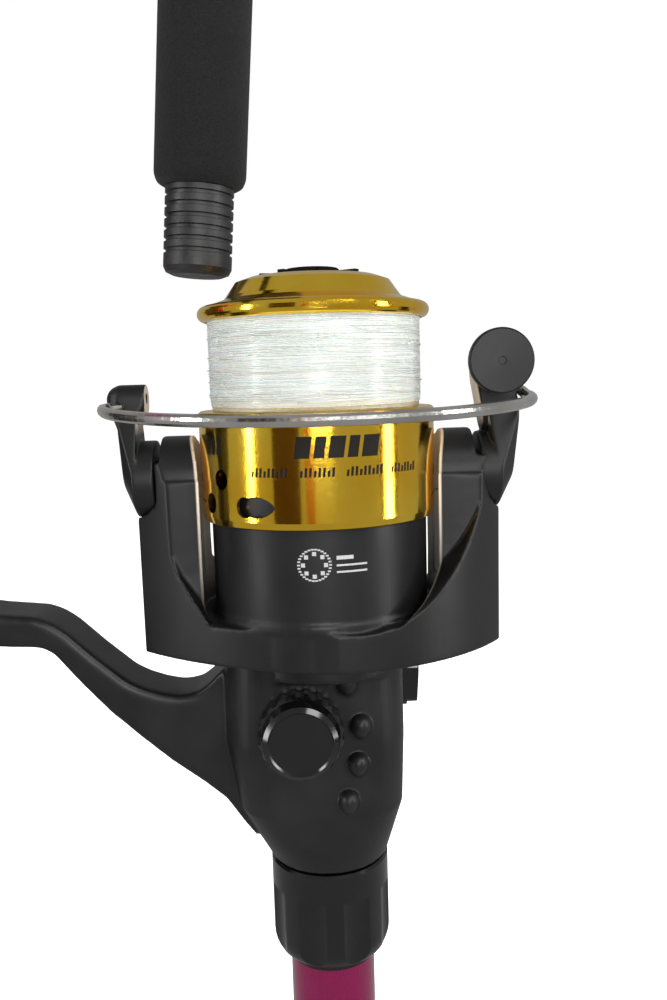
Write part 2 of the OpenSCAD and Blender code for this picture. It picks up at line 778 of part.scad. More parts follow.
module click_gear() {
    teeth = 24;
    color("ivory") difference() {
        union() {
            ring(8.4, 4.2, 191.8, 193.2);
            spur_teeth(teeth, 8.3, 9.2, 1, 192, 193);
        }
        translate([0, 0, 180]) cylinder(r = 4.2, h = 20);
    }
}

module line_winding() {
    color([0.93, 0.93, 0.91]) rotate_extrude() polygon([[arbor_r + 0.03, floor_z + 0.03],
        [line_r - 0.5, floor_z + 0.03], [line_r, floor_z + 3], [line_r + 0.3, line_top - 1],
        [line_r, line_top], [arbor_r + 0.03, line_top]]);
}

module drag_washers() {
    count = 3;
    color("dimgray") for (i = [0 : count - 1])
        ring(10.8, shaft_r + 0.2, 212.2 + i * 1.5, 213.3 + i * 1.5);
}

module drag_spring() {
    color("silver") translate([0, 0, 217]) coil_spring(3.4, 0.44, 3.8, 3);
}

module drag_knob() {
    bars = 8;
    color("black") union() {
        rotate_extrude() polygon([[shaft_r + run_gap, 221.4], [13.5, 221.4], [13.6, 222.6],
            [12.8, 223.7], [6.4, 225.2], [5.8, 225.8], [0, 225.8], [0, 225],
            [shaft_r + run_gap, 225]]);
        for (i = [0 : bars - 1]) rotate([0, 0, i * 360 / bars + 10])
            span([7.4, -0.8, 223], [11.8, 0.8, 224.9]);
    }
}

// ---------- seat and folding grip ----------

module seat_tube() {
    color("mediumvioletred") translate([seat_x, 0, 0])
        ring(seat_tube_d / 2, seat_tube_d / 2 - 1.2, 84, 312);
}

// Pocket in a hood for one end of the foot
module foot_pocket(z0, z1) {
    rotate([0, 0, -41]) rotate_extrude(angle = 82)
        polygon([[seat_r - 0.1, z0], [foot_tip + 0.3, z0], [foot_tip + 0.3, z1], [seat_r - 0.1, z1]]);
}

module reel_seat() {
    color([0.12, 0.12, 0.13]) translate([seat_x, 0, 0]) difference() {
        union() {
            translate([0, 0, 92]) cylinder(r = seat_r, h = 118);
            translate([0, 0, 104]) cylinder(r = hood_r, h = 17.5);
            translate([0, 0, 90]) cylinder(r = 11.8, h = 6);
        }
        translate([0, 0, 80]) cylinder(r = seat_tube_d / 2, h = 140);
        foot_pocket(114.6, 122);
    }
}

// Loose hood that closes over the upper end of the foot
module sliding_hood() {
    color([0.12, 0.12, 0.13]) translate([seat_x, 0, 0]) difference() {
        ring(hood_r, seat_r + 0.3, 174.4, 188);
        foot_pocket(170, 181.6);
    }
}

module seat_nut() {
    grooves = 18;
    color([0.2, 0.2, 0.21]) translate([seat_x, 0, 0]) difference() {
        ring(hood_r - 0.2, seat_r + 0.3, 188.4, 198);
        for (i = [0 : grooves - 1]) rotate([0, 0, i * 360 / grooves])
            translate([hood_r + 0.1, 0, 189.4]) cylinder(r = 0.9, h = 7.6);
    }
}

module end_cap() {
    color("black") translate([seat_x, 0, 0]) rotate_extrude()
        polygon([[0, 80], [7, 80], [9.4, 82], [9.8, 84], [9.8, 90], [seat_tube_d / 2, 90],
            [seat_tube_d / 2, 84], [0, 84]]);
}

// Places its children in the plane that holds the seat's axis and the folded grip
module fold_plane() {
    translate([seat_x, 0, 0]) rotate([0, 0, fold_azimuth]) children();
}

// Places its children, drawn in line with the seat, where the folded grip lies
module folded() {
    fold_plane() translate([hinge_s, 0, hinge_z]) rotate([0, fold_rest, 0])
        translate([-hinge_s, 0, -hinge_z]) children();
}

module hinge_block() {
    color([0.12, 0.12, 0.13]) fold_plane() difference() {
        union() {
            translate([0, 0, 300]) cylinder(r = 10.4, h = 21.6);
            span([0, -7, 310], [hinge_s - 2, 7, 321.6]);
            for (s = [0, 1]) mirror([0, s, 0])
                translate([hinge_s, 3.2, hinge_z]) rotate([-90, 0, 0]) cylinder(r = 6, h = 5);
        }
        translate([0, 0, 290]) cylinder(r = seat_tube_d / 2, h = 22);
        translate([hinge_s, -10, hinge_z]) rotate([-90, 0, 0]) cylinder(r = 2, h = 20);
        // room for the knuckle between the two ears
        translate([hinge_s, -3.2, hinge_z]) rotate([-90, 0, 0]) cylinder(r = 6.6, h = 6.4);
    }
}

module hinge_pin() {
    color("silver") fold_plane() translate([hinge_s, -9.4, hinge_z]) rotate([-90, 0, 0]) {
        cylinder(r = 2, h = 18.8);
        cylinder(r = 3.4, h = 1.1);
        translate([0, 0, 17.7]) cylinder(r = 3.4, h = 1.1);
    }
}

module fold_arm() {
    color([0.12, 0.12, 0.13]) folded() difference() {
        union() {
            translate([0, 0, 322.4]) cylinder(r = 10.4, h = foam_z - 322.4);
            difference() {
                span([0, -7, 322.4], [hinge_s - 2, 7, 333]);
                for (s = [0, 1]) mirror([0, s, 0])
                    translate([hinge_s, 2.9, hinge_z]) rotate([-90, 0, 0]) cylinder(r = 6.5, h = 10);
            }
            translate([hinge_s, -2.9, hinge_z]) rotate([-90, 0, 0]) cylinder(r = 6, h = 5.8);
        }
        translate([hinge_s, -10, hinge_z]) rotate([-90, 0, 0]) cylinder(r = 2 + run_gap, h = 20);
        translate([0, 0, 326]) cylinder(r = 6.5, h = 20);
    }
}

module grip_tube() {
    color("mediumvioletred") folded() ring(6.5, 5.4, 326, spigot_z + 8.6);
}

module foam_grip() {
    r = foam_d / 2;
    end = foam_z + foam_len;
    color([0.1, 0.1, 0.1]) folded() rotate_extrude() polygon([[6.5, foam_z], [r - 2.4, foam_z],
        [r - 0.7, foam_z + 0.7], [r, foam_z + 2.5], [r, end - 2.6], [r - 0.7, end - 0.8],
        [r - 2.4, end], [6.5, end]]);
}

// Plug with six ribs that pushes into the next rod section
module ribbed_spigot() {
    r = spigot_d / 2;
    pitch = 2.55;
    groove = 0.5;
    length = 19.8;
    color([0.1, 0.1, 0.1]) folded() translate([0, 0, spigot_z]) rotate_extrude() polygon(concat(
        [[6.5, 0], [r, 0]],
        [for (i = [0 : 5]) each [[r, 1.2 + i * pitch], [r - groove, 1.4 + i * pitch],
            [r - groove, 2.1 + i * pitch], [r, 2.3 + i * pitch]]],
        [[r, length - 1.8], [r - 0.6, length - 0.6], [r - 2, length], [0, length], [0, 8.8], [6.5, 8.8]]));
}

rod_tube();
tube_collet();
lock_collar();
body_shell();
side_cover();
cover_screws();
drive_bearings();
pinion_bearing();
osc_gear();
drive_gear();
screw_cap();
crank_arm();
knob_post();
handle_knob();
pinion_gear();
ratchet_wheel();
ratchet_pawl();
pawl_pin();
anti_reverse_lever();
rotor();
rotor_nut();
bail_spring();
arm_covers();
bail_lever_left();
bail_lever_right();
bail_wire();
lever_screws();
roller_cap();
line_roller();
main_shaft();
crosshead();
shaft_washer();
spool();
spool_flange();
click_gear();
line_winding();
drag_washers();
drag_spring();
drag_knob();
seat_tube();
reel_seat();
sliding_hood();
seat_nut();
end_cap();
hinge_block();
hinge_pin();
fold_arm();
grip_tube();
foam_grip();
ribbed_spigot();
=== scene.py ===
"""Looks of the spinning reel and its folding grip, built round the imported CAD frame."""
import json
import math
import random

import bmesh
import bpy
from mathutils import Matrix, Vector


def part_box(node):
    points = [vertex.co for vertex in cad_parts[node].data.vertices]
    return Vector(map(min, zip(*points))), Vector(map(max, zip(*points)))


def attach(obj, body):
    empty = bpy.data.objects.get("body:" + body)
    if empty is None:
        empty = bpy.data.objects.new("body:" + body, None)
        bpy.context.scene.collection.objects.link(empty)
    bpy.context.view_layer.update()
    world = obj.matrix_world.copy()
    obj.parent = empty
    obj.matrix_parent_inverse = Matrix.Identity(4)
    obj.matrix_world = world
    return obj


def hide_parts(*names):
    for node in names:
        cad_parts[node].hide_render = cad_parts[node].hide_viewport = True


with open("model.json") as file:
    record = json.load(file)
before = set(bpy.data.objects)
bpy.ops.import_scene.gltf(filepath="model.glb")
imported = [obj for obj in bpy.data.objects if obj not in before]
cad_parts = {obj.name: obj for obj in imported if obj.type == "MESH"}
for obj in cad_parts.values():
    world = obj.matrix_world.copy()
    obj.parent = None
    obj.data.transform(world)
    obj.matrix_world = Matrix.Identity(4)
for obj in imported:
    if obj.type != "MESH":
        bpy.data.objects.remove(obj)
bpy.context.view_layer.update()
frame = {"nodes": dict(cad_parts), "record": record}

MM = 0.001
NODES = frame["nodes"]
scene = bpy.context.scene
scene.view_settings.view_transform = "Standard"
rand = random.Random(7)

CAMERA_AT_MM = (-2.20, -206.13, 201.93)
CAMERA_YAW_PITCH_ROLL = (1.549, -7.805, -1.660)
LENS_MM, SENSOR_MM = 32.4, 36


# ---------- camera, at the photograph's angle ----------

def make_camera():
    """A level camera turned a little right, tipped down and rolled, as the photograph was taken."""
    yaw, pitch, roll = (math.radians(v) for v in CAMERA_YAW_PITCH_ROLL)
    ahead = Vector((math.sin(yaw) * math.cos(pitch), math.cos(yaw) * math.cos(pitch),
                    math.sin(pitch)))
    right = ahead.cross(Vector((0, 0, 1))).normalized()
    up = right.cross(ahead)
    right, up = (math.cos(roll) * right + math.sin(roll) * up,
                 math.cos(roll) * up - math.sin(roll) * right)
    data = bpy.data.cameras.new("camera")
    data.lens, data.sensor_width, data.clip_start = LENS_MM, SENSOR_MM, 10 * MM
    cam = bpy.data.objects.new("camera", data)
    scene.collection.objects.link(cam)
    axes = Matrix((right, up, -ahead)).transposed()
    cam.matrix_world = Matrix.Translation(Vector(CAMERA_AT_MM) * MM) @ axes.to_4x4()
    scene.camera = cam


# ---------- materials ----------

class Shader:
    """A principled material whose nodes are added by name."""

    def __init__(self, name, base, rough, metal=0.0, coat=0.0, coat_rough=0.1, sheen=0.0, ior=1.5):
        self.mat = bpy.data.materials.new(name)
        self.mat.use_nodes = True
        self.mat.diffuse_color = (*base, 1)
        self.tree = self.mat.node_tree
        self.bsdf = self.tree.nodes["Principled BSDF"]
        self.set(**{"Base Color": (*base, 1), "Roughness": rough, "Metallic": metal,
                    "Coat Weight": coat, "Coat Roughness": coat_rough,
                    "Sheen Weight": sheen, "IOR": ior})
        self.coord = self.tree.nodes.new("ShaderNodeTexCoord")
        self.height = None

    def set(self, **values):
        for name, value in values.items():
            self.bsdf.inputs[name].default_value = value

    def link(self, a, b):
        self.tree.links.new(a, b)

    def mapped(self, scale):
        """The place in the object, stretched by one number or by three."""
        node = self.tree.nodes.new("ShaderNodeMapping")
        node.inputs["Scale"].default_value = scale if hasattr(scale, "__len__") else (scale,) * 3
        self.link(self.coord.outputs["Object"], node.inputs["Vector"])
        return node.outputs["Vector"]

    def noise(self, scale, detail=3.0):
        """Noise with the given number of waves per metre along each axis."""
        node = self.tree.nodes.new("ShaderNodeTexNoise")
        node.inputs["Scale"].default_value = 1.0
        node.inputs["Detail"].default_value = detail
        self.link(self.mapped(scale), node.inputs["Vector"])
        return node.outputs["Fac"]

    def cells(self, scale):
        node = self.tree.nodes.new("ShaderNodeTexVoronoi")
        node.inputs["Scale"].default_value = 1.0
        self.link(self.mapped(scale), node.inputs["Vector"])
        return node.outputs["Distance"]

    def span(self, value, low, high, start=0.3, stop=0.7):
        """low to high as a value goes from start to stop."""
        node = self.tree.nodes.new("ShaderNodeMapRange")
        for name, number in (("From Min", start), ("From Max", stop),
                             ("To Min", low), ("To Max", high)):
            node.inputs[name].default_value = number
        self.link(value, node.inputs["Value"])
        return node.outputs["Result"]

    def tint(self, value, low, high, start=0.3, stop=0.7):
        """Colour that runs between two shades with a value."""
        node = self.tree.nodes.new("ShaderNodeValToRGB")
        node.color_ramp.elements[0].position = start
        node.color_ramp.elements[1].position = stop
        node.color_ramp.elements[0].color = (*low, 1)
        node.color_ramp.elements[1].color = (*high, 1)
        self.link(value, node.inputs["Fac"])
        self.link(node.outputs["Color"], self.bsdf.inputs["Base Color"])

    def vary_rough(self, value, low, high):
        self.link(self.span(value, low, high), self.bsdf.inputs["Roughness"])

    def bump(self, value, depth_mm):
        """Relief of a depth, laid over any relief added before."""
        node = self.tree.nodes.new("ShaderNodeBump")
        node.inputs["Distance"].default_value = depth_mm * MM
        node.inputs["Strength"].default_value = 1.0
        self.link(value, node.inputs["Height"])
        if self.height:
            self.link(self.height, node.inputs["Normal"])
        self.height = node.outputs["Normal"]
        self.link(self.height, self.bsdf.inputs["Normal"])


def shade(colour, factor):
    return tuple(min(1.0, c * factor) for c in colour)


SATIN_BLACK, SATIN_ROUGH, SATIN_SPECULAR = (0.0062, 0.0062, 0.0068), 0.4, 0.3
GRAIN_MM = 0.012


def plastic(name, base, rough, grain_mm=GRAIN_MM, spread=0.08, specular=0.5):
    s = Shader(name, base, rough)
    s.set(**{"Specular IOR Level": specular})
    slow, fine = s.noise(90), s.noise(2600, 2)
    s.tint(slow, shade(base, 0.8), shade(base, 1.25))
    s.vary_rough(slow, rough - spread, rough + spread)
    if grain_mm:
        s.bump(fine, grain_mm)
    return s.mat


def plastic_with_painted_light(name, painted_light_colour, limits):
    """Satin black plastic whose inner walls carry painted light, a pale warm tint where the spool
    would light them.

    limits lists (measure, start, stop): the walls are pale where every measure has passed from
    start to stop. The measures are "radius" and "z", in millimetres, and "normal_x", the x part
    of the way the face points on its own body."""
    s = Shader(name, SATIN_BLACK, SATIN_ROUGH)
    s.set(**{"Specular IOR Level": SATIN_SPECULAR})
    slow, fine = s.noise(90), s.noise(2600, 2)
    tree = s.tree
    place = s.coord.outputs["Object"]
    flat = tree.nodes.new("ShaderNodeVectorMath")
    flat.operation = "MULTIPLY"
    flat.inputs[1].default_value = (1, 1, 0)
    s.link(place, flat.inputs[0])
    radius = tree.nodes.new("ShaderNodeVectorMath")
    radius.operation = "LENGTH"
    s.link(flat.outputs["Vector"], radius.inputs[0])
    split, facing = (tree.nodes.new("ShaderNodeSeparateXYZ") for _ in range(2))
    s.link(place, split.inputs[0])
    s.link(s.coord.outputs["Normal"], facing.inputs[0])
    measures = {"radius": (radius.outputs["Value"], MM), "z": (split.outputs["Z"], MM),
                "normal_x": (facing.outputs["X"], 1.0)}
    painted_light_mask = None
    for measure, start, stop in limits:
        value, unit = measures[measure]
        if start < stop:
            passed = s.span(value, 0, 1, start * unit, stop * unit)
        else:
            passed = s.span(value, 1, 0, stop * unit, start * unit)
        if painted_light_mask is None:
            painted_light_mask = passed
            continue
        times = tree.nodes.new("ShaderNodeMath")
        times.operation = "MULTIPLY"
        s.link(painted_light_mask, times.inputs[0])
        s.link(passed, times.inputs[1])
        painted_light_mask = times.outputs[0]
    # painted light: the black turns to the pale warm tint where the mask is full
    s.tint(painted_light_mask, SATIN_BLACK, painted_light_colour, 0.0, 1.0)
    s.vary_rough(slow, SATIN_ROUGH - 0.04, SATIN_ROUGH + 0.06)
    s.bump(fine, GRAIN_MM)
    return s.mat


def turned_metal(name, base, rough, scale=(300, 300, 6000), depth_mm=0.002):
    s = Shader(name, base, rough, metal=1.0)
    lines, slow = s.noise(scale, 2), s.noise(120)
    s.tint(slow, shade(base, 0.88), shade(base, 1.06))
    s.vary_rough(lines, rough * 0.7, rough * 1.4)
    s.bump(lines, depth_mm)
    return s.mat


def gold_plate():
    base = (0.98, 0.62, 0.045)
    s = Shader("gold_plate", base, 0.1, metal=1.0)
    slow, specks, lines = s.noise(70), s.noise(3500, 1), s.noise((60, 60, 900), 2)
    s.tint(slow, (0.92, 0.53, 0.03), (1.0, 0.68, 0.07))
    s.vary_rough(specks, 0.06, 0.17)
    s.bump(lines, 0.006)
    s.bump(specks, 0.0012)
    return s.mat


def foam():
    base = (0.0055, 0.0055, 0.006)
    s = Shader("foam", base, 0.93, sheen=0.03, ior=1.25)
    s.set(**{"Sheen Roughness": 0.6})
    pores, slow, fine = s.cells(1500), s.noise(160, 5), s.noise(3800, 2)
    s.tint(fine, shade(base, 0.55), shade(base, 2.0))
    s.vary_rough(slow, 0.88, 0.98)
    s.bump(slow, 0.15)
    s.bump(pores, 0.1)
    s.bump(fine, 0.05)
    return s.mat


def rubber(name, base, rough):
    s = Shader(name, base, rough)
    slow, fine = s.noise(240, 4), s.noise(2400, 3)
    s.tint(slow, shade(base, 0.65), shade(base, 1.7))
    s.vary_rough(slow, rough - 0.1, rough + 0.08)
    s.bump(fine, 0.03)
    return s.mat


def magenta():
    base = (0.27, 0.003, 0.075)
    s = Shader("magenta_anodised", base, 0.24, metal=0.75, coat=0.7, coat_rough=0.08)
    slow, drawn = s.noise(60), s.noise((2600, 2600, 40), 2)
    s.tint(slow, shade(base, 0.86), shade(base, 1.12))
    s.vary_rough(drawn, 0.2, 0.32)
    s.bump(drawn, 0.002)
    return s.mat


def line_nylon():
    base = (0.66, 0.64, 0.6)
    s = Shader("nylon_line", base, 0.22, coat=0.3, ior=1.53)
    s.set(**{"Transmission Weight": 0.12, "Subsurface Weight": 0.25, "Subsurface Scale": 0.002})
    bands, slow = s.noise((30, 30, 1500), 3), s.noise((300, 300, 500), 3)
    s.tint(bands, (0.6, 0.57, 0.52), (0.76, 0.74, 0.7))
    s.vary_rough(slow, 0.16, 0.34)
    return s.mat


def ink(name, base, rough):
    s = Shader(name, base, rough)
    s.set(**{"Specular IOR Level": 0.15})
    slow, fine = s.noise(400), s.noise(4000)
    s.tint(fine, shade(base, 0.85), shade(base, 1.15))
    s.vary_rough(slow, rough - 0.08, rough + 0.08)
    s.bump(fine, 0.002)
    return s.mat


def bail_metal():
    base = (0.5, 0.49, 0.46)
    s = Shader("bail_chrome", base, 0.17, metal=1.0)
    slow, fine = s.noise(75), s.noise(1800)
    s.tint(slow, (0.42, 0.40, 0.35), (0.66, 0.655, 0.64))
    s.vary_rough(fine, 0.12, 0.26)
    s.bump(fine, 0.003)
    return s.mat


MATERIALS = {
    "satin_black": plastic("satin_black", SATIN_BLACK, SATIN_ROUGH, spread=0.05,
                           specular=SATIN_SPECULAR),
    "gloss_black": plastic("gloss_black", (0.003, 0.003, 0.0034), 0.14, grain_mm=0, spread=0.04,
                           specular=0.55),
    "gold_plate": gold_plate(),
    "bail_chrome": bail_metal(),
    "steel": turned_metal("steel", (0.55, 0.55, 0.56), 0.28),
    "brass": turned_metal("brass", (0.78, 0.53, 0.2), 0.26),
    "zinc": turned_metal("zinc", (0.5, 0.5, 0.52), 0.45, scale=(900, 900, 900), depth_mm=0.01),
    "acetal": plastic("acetal", (0.8, 0.77, 0.66), 0.4),
    "magenta_anodised": magenta(),
    "nylon_line": line_nylon(),
    "foam": foam(),
    "black_rubber": rubber("black_rubber", (0.007, 0.007, 0.0075), 0.5),
    "felt": rubber("felt", (0.09, 0.075, 0.06), 0.9),
}
# pale warm grey painted on the black rotor arms' inner walls and the levers' inner faces: painted
# light from the spool
PAINTED_SPOOL_LIGHT = (0.62, 0.55, 0.46)
ROTOR_BLACK_PAINTED_LIGHT = plastic_with_painted_light("satin_black_rotor_painted_light", PAINTED_SPOOL_LIGHT,
                          (("radius", 25.6, 26.4), ("radius", 28.9, 28.5), ("z", 150, 176)))
# the levers' painted light lies above this height, on the faces turned to the spool
LEVER_PAINTED_LIGHT_Z = ("z", 190, 193)
LEVER_BLACK_PAINTED_LIGHT = {
    "bail_lever_left": plastic_with_painted_light("satin_black_left_painted_light", PAINTED_SPOOL_LIGHT,
                                   (("normal_x", 0.75, 0.95), LEVER_PAINTED_LIGHT_Z)),
    "bail_lever_right": plastic_with_painted_light("satin_black_right_painted_light", PAINTED_SPOOL_LIGHT,
                                    (("normal_x", -0.75, -0.95), LEVER_PAINTED_LIGHT_Z)),
}
INK_BLACK = ink("print_black", (0.008, 0.006, 0.004), 0.5)
INK_GREY = ink("print_grey", (0.34, 0.34, 0.34), 0.5)
KNOB_BLACK = plastic("satin_black_knob", (0.008, 0.008, 0.009), 0.62, spread=0.05, specular=0.0)
SLOTS = {s["node"]: s["material_slot"] for s in frame["record"]["subparts"]}
BODY_OF = {n: b for b, names in frame["record"]["behaviour"]["bodies"].items() for n in names}


def paint(obj, material):
    obj.data.materials.clear()
    obj.data.materials.append(material)


# ---------- pieces ----------

def new_piece(name, mesh, body, slot, material=None, replaces=()):
    """A visible piece that rides a body; its material is the slot's unless one is given."""
    obj = bpy.data.objects.new(name, mesh)
    scene.collection.objects.link(obj)
    paint(obj, material or MATERIALS[slot])
    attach(obj, body)
    if replaces:
        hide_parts(*replaces)
    return obj


def mesh_from(bm, name):
    mesh = bpy.data.meshes.new(name)
    bm.to_mesh(mesh)
    bm.free()
    return mesh


def bake_modifiers(obj):
    """Give a piece the mesh that its modifiers make."""
    bpy.context.view_layer.update()
    made = obj.evaluated_get(bpy.context.evaluated_depsgraph_get())
    mesh = bpy.data.meshes.new_from_object(made)
    obj.modifiers.clear()
    obj.data = mesh


def soften(node, voxel_mm, passes, rounder=None):
    """Moulded skin in a CAD node's shape, with its edges rounded a little.

    rounder is (how round at a point, more passes) for a part of it that is rounder."""
    skin = new_piece(node + "_skin", NODES[node].data.copy(), BODY_OF[node], SLOTS[node],
                     replaces=[node])
    remesh = skin.modifiers.new("remesh", "REMESH")
    remesh.mode, remesh.voxel_size = "VOXEL", voxel_mm * MM
    smooth = skin.modifiers.new("smooth", "SMOOTH")
    smooth.factor, smooth.iterations = 0.5, passes
    bake_modifiers(skin)
    if rounder:
        weight_at, more = rounder
        group = skin.vertex_groups.new(name="rounder")
        for vertex in skin.data.vertices:
            weight = weight_at(vertex.co)
            if weight > 0:
                group.add([vertex.index], weight, "REPLACE")
        smooth = skin.modifiers.new("rounder", "SMOOTH")
        smooth.factor, smooth.iterations, smooth.vertex_group = 0.5, more, "rounder"
        bake_modifiers(skin)
        skin.vertex_groups.clear()
    for poly in skin.data.polygons:
        poly.use_smooth = True
    paint(skin, MATERIALS[SLOTS[node]])
    return skin


def stem_roundness(point):
    """1 along the stem, falling to 0 at the gear housing and at the foot."""
    x = point.x / MM
    housing_x, housing_fade, foot_x, foot_fade = -20.0, 8.0, -80.0, 6.0
    return max(0.0, min(1.0, (housing_x - x) / housing_fade, (x - foot_x) / foot_fade))


def circle_into(bm, radius, z, sides):
    return [bm.verts.new((radius * math.cos(t), radius * math.sin(t), z))
            for t in (k * math.tau / sides for k in range(sides))]


def join_rings(bm, a, b):
    """Smooth faces between two closed rings of points."""
    for k in range(len(a)):
        after = (k + 1) % len(a)
        bm.faces.new((a[k], a[after], b[after], b[k])).smooth = True


def tube_into(bm, points, radius, sides=5):
    """Round tube through the points, with closed ends."""
    rings = []
    for i, p in enumerate(points):
        ahead = (points[min(i + 1, len(points) - 1)] - points[max(i - 1, 0)]).normalized()
        side = ahead.cross(Vector((0, 0, 1)))
        side = side.normalized() if side.length > 1e-3 else Vector((1, 0, 0))
        over = side.cross(ahead)
        rings.append([bm.verts.new(p + radius * (math.cos(t) * side + math.sin(t) * over))
                      for t in (k * math.tau / sides for k in range(sides))])
    for a, b in zip(rings, rings[1:]):
        join_rings(bm, a, b)
    bm.faces.new(rings[0][::-1])
    bm.faces.new(rings[-1])


def wound_line():
    """Packed turns of line on a core, with a few loose strands that stand proud."""
    low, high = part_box("line_winding")
    outer = high.x
    z0, z1 = low.z, high.z
    strand, loose_strand = 0.125 * MM, 0.1 * MM
    arbor, core = 13 * MM, outer - 2.2 * strand
    segments, turns, loose, loose_steps = 120, 84, 46, 14
    shoulder = z0 + 2.6 * MM    # below this the turns sink toward the spool's lower lip
    bm = bmesh.new()
    loops = [circle_into(bm, r, z, segments)
             for r, z in ((arbor, z0), (core - 0.3 * MM, z0), (core, z0 + 2 * MM),
                          (core, z1 - 0.4 * MM), (core - 0.4 * MM, z1), (arbor, z1))]
    for i, loop in enumerate(loops):
        join_rings(bm, loop, loops[(i + 1) % len(loops)])
    for t in range(turns):
        start = z0 + strand + (z1 - z0 - 2 * strand) * t / (turns - 1)
        lean = rand.uniform(-0.45, 0.45) * MM
        radius = outer - strand * rand.uniform(1.0, 2.0)
        if start < shoulder:
            radius -= (shoulder - start) * 0.2
        phase, wave = rand.uniform(0, math.tau), rand.uniform(0.02, 0.07) * MM
        points = []
        for k in range(segments + 1):
            a = phase + k * math.tau / segments
            z = start + lean * math.sin(a) + wave * math.sin(3 * a + phase)
            z = min(max(z, z0 + strand), z1 - strand)
            r = radius + wave * math.sin(5 * a)
            points.append(Vector((r * math.cos(a), r * math.sin(a), z)))
        tube_into(bm, points, strand)
    for _ in range(loose):
        a0, sweep = rand.uniform(0, math.tau), rand.uniform(0.25, 1.1)
        start, rise = rand.uniform(z0 + MM, z1 - MM), rand.uniform(-0.9, 0.9) * MM
        proud = rand.uniform(0.1, 0.75) * MM
        points = []
        for k in range(loose_steps + 1):
            f = k / loose_steps
            a = a0 + sweep * f
            r = outer - 0.15 * MM + proud * math.sin(math.pi * f) ** 2
            z = min(max(start + rise * f, z0 + 0.2 * MM), z1 - 0.2 * MM)
            points.append(Vector((r * math.cos(a), r * math.sin(a), z)))
        tube_into(bm, points, loose_strand)
    new_piece("wound_line", mesh_from(bm, "wound_line"), "spool", "nylon_line",
              replaces=["line_winding"])


def curved_print(name, radius, bars, body, slot, material, proud=0.03):
    """Thin print on a round wall: bars are (x0, x1, z0, z1, lean) in mm, seen from -Y."""
    step_mm = 0.5
    bm = bmesh.new()
    for x0, x1, z0, z1, lean in bars:
        steps = max(2, int((x1 - x0) / step_mm))
        rows = []
        for shell in (0.0, proud):
            r = radius + shell
            for z, push in ((z0, 0.0), (z1, lean)):
                row = []
                for k in range(steps + 1):
                    a = (x0 + (x1 - x0) * k / steps + push) / radius
                    row.append(bm.verts.new(Vector((r * math.sin(a), -r * math.cos(a), z)) * MM))
                rows.append(row)
        inner_low, inner_high, outer_low, outer_high = rows
        loops = [inner_low, inner_high, outer_high, outer_low]
        for i, a in enumerate(loops):
            b = loops[(i + 1) % 4]
            for k in range(steps):
                bm.faces.new((a[k], b[k], b[k + 1], a[k + 1]))
        for end in (0, -1):
            quad = [loop[end] for loop in loops]
            bm.faces.new(quad[::-1] if end else quad)
    bmesh.ops.recalc_face_normals(bm, faces=bm.faces)
    new_piece(name, mesh_from(bm, name), body, slot, material)


def spool_marks():
    """Plain generic blocks and ticks where the spool carries its print."""
    bars = []
    x = -5.2
    for width, gap in ((3.2, 0.8), (2.2, 0.8), (3.2, 0.8), (2.2, 0.8), (3.6, 0)):
        bars.append((x, x + width, 185.8, 190.2, 0.7))
        x += width + gap
    x = -29.4
    for width, gap in ((1.6, 0.8), (1.2, 0.8), (1.6, 0)):
        bars.append((x, x + width, 186.2, 190.0, 0.3))
        x += width + gap
    tick_pitch, tick_width = 0.93, 0.52
    for start, count in ((-14.6, 9), (-4.0, 8), (5.5, 9), (15.7, 8)):
        for i in range(count):
            x = start + tick_pitch * i
            bars.append((x, x + tick_width, 182.0, 183.9 if i % 3 else 183.3, 0.15))
    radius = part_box("spool")[1].x / MM
    curved_print("spool_marks", radius + 0.005, bars, "spool", "gold_plate", INK_BLACK)


def rotor_mark():
    """Generic mark on the drum: a ring with beads in it and three bars beside it."""
    drum_radius = 24.6
    centre_x, centre_z, ring = -1.6, 163.6, 3.3
    bars = []
    for count, reach, half_width, half_height in ((8, ring * 0.72, 0.42, 0.42),
                                                  (30, ring, 0.3, 0.16)):
        for k in range(count):
            a = math.radians(k * 360 / count)
            x, z = centre_x + reach * math.cos(a), centre_z + reach * math.sin(a)
            bars.append((x - half_width, x + half_width, z - half_height, z + half_height, 0))
    bars += [(3.0, 6.6, 164.6, 165.4, 0), (3.0, 9.6, 163.2, 163.6, 0),
             (3.0, 9.6, 161.8, 162.2, 0)]
    curved_print("rotor_mark", drum_radius, bars, "rotor", "satin_black", INK_GREY, 0.04)


def body_beads():
    """Four egg-shaped beads on the near side of the gear housing, pointed at the bottom."""
    wall_y = -16.0 * MM
    half_x, half_y, half_z, taper = 2.25 * MM, 2.75 * MM, 3.0 * MM, 0.22
    bm = bmesh.new()
    for x, z in ((4.9, 135.2), (7.6, 125.2), (6.8, 116.4), (4.5, 107.7)):
        made = bmesh.ops.create_uvsphere(bm, u_segments=40, v_segments=24, radius=1.0)["verts"]
        for vertex in made:
            px, py, pz = vertex.co
            narrow = 1.0 + taper * pz
            vertex.co = Vector((x * MM + half_x * px * narrow, wall_y + half_y * py * narrow,
                                z * MM + half_z * pz))
    for face in bm.faces:
        face.smooth = True
    new_piece("body_beads", mesh_from(bm, "body_beads"), "housing", "satin_black")


# ---------- stage ----------

